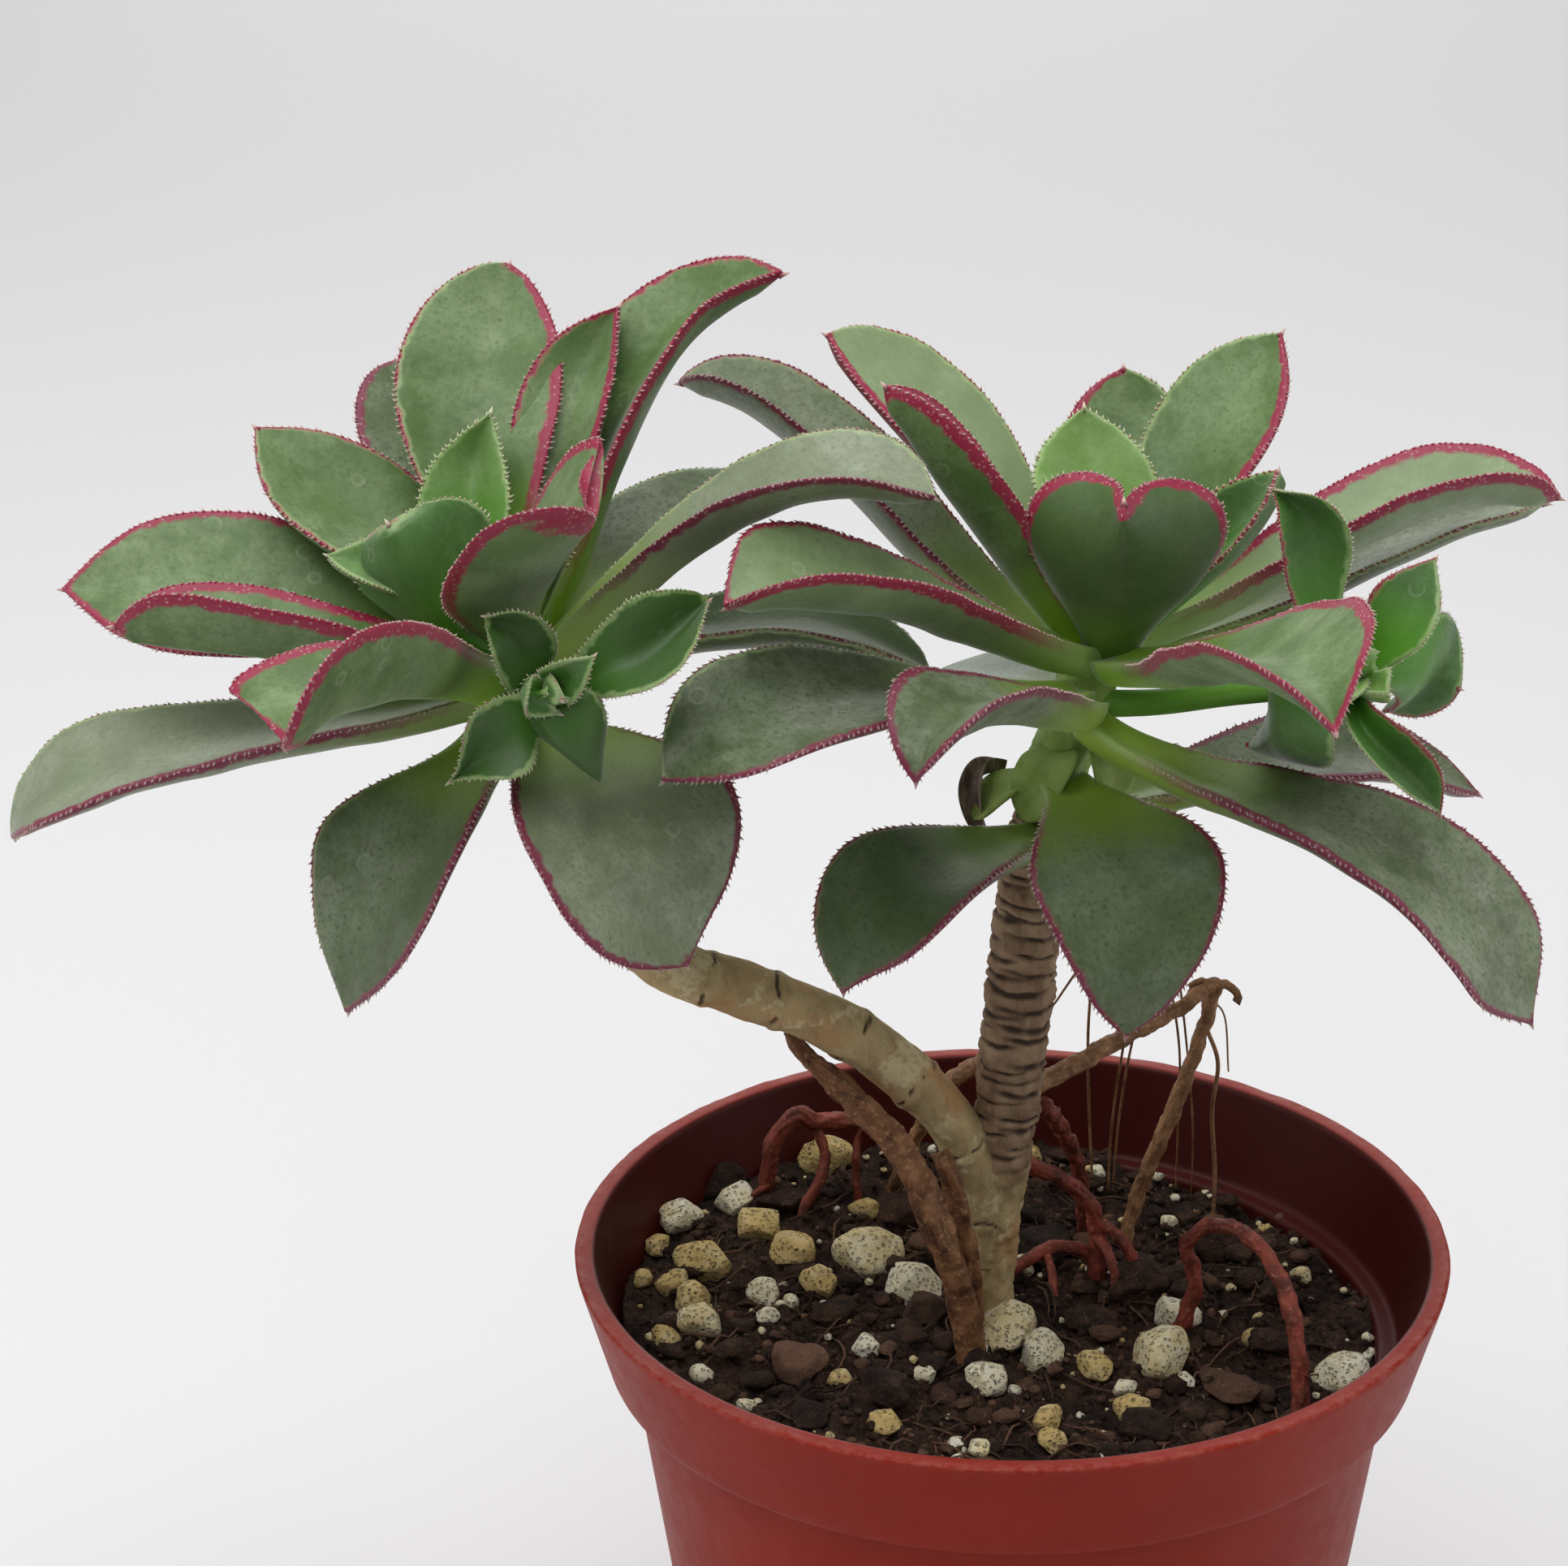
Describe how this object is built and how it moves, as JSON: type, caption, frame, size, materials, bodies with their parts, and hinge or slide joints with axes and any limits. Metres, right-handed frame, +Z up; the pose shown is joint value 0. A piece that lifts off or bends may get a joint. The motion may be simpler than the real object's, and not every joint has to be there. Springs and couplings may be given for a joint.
{
  "type": "potted succulent plant",
  "caption": "Potted aeonium: fleshy toothed leaves in two heads on a forked ringed stem, with aerial roots, in gritty soil in a tapered plastic pot.",
  "frame": {"origin": "middle of the pot's flat base, on the surface that it stands on", "axes": "+Z up along the pot's axis; -Y is the side that the picture is taken from, with one head to -X and the other to +X"},
  "size_m": [0.1409, 0.0927, 0.1683],
  "materials": {
    "bark": "grey-tan bark with ring scars",
    "dry_brown": "dry withered plant matter",
    "leaf_grown": "grown fleshy leaf, waxy green, stands in as matte plastic",
    "leaf_old": "old fleshy leaf, waxy grey-green, stands in as matte plastic",
    "leaf_young": "young fleshy leaf, bright green, stands in as matte plastic",
    "pot_plastic": "red-brown plastic, matte with a soft sheen",
    "root_red": "red-brown root skin",
    "soil_dark": "dark potting mix with grit"
  },
  "bodies": {
    "root": {"stem": "bark", "withered_strand_long": "dry_brown", "withered_strand_short": "dry_brown", "root_tan": "bark", "root_red_left": "root_red", "root_red_right": "root_red", "root_brown_front": "root_red", "root_brown_mid": "root_red", "root_brown_back": "root_red", "offset_left": "leaf_young", "offset_right": "leaf_young", "tip_left": "leaf_young", "tip_right": "leaf_young", "leaf_left_01": "leaf_grown", "leaf_left_02": "leaf_old", "leaf_left_03": "leaf_grown", "leaf_left_04": "leaf_young", "leaf_left_05": "leaf_grown", "leaf_left_06": "leaf_grown", "leaf_left_07": "leaf_grown", "leaf_left_08": "leaf_young", "leaf_left_09": "leaf_grown", "leaf_left_10": "leaf_grown", "leaf_left_11": "leaf_grown", "leaf_left_12": "leaf_old", "leaf_left_13": "leaf_old", "leaf_left_14": "leaf_old", "leaf_left_15": "leaf_old", "leaf_left_16": "leaf_old", "leaf_left_17": "leaf_old", "leaf_left_18": "leaf_old", "leaf_right_01": "leaf_grown", "leaf_right_02": "leaf_young", "leaf_right_03": "leaf_grown", "leaf_right_04": "leaf_grown", "leaf_right_05": "leaf_young", "leaf_right_06": "leaf_grown", "leaf_right_07": "leaf_grown", "leaf_right_08": "leaf_grown", "leaf_right_09": "leaf_old", "leaf_right_10": "leaf_old", "leaf_right_11": "leaf_old", "leaf_right_12": "leaf_old", "leaf_right_13": "leaf_old", "leaf_right_14": "leaf_old", "leaf_right_15": "leaf_old", "leaf_right_16": "leaf_grown", "leaf_right_17": "leaf_grown", "leaf_right_18": "leaf_old", "leaf_right_19": "leaf_old", "leaf_right_20": "leaf_old", "dry_leaf": "dry_brown", "soil": "soil_dark", "pot": "pot_plastic"}
  },
  "joints": []
}
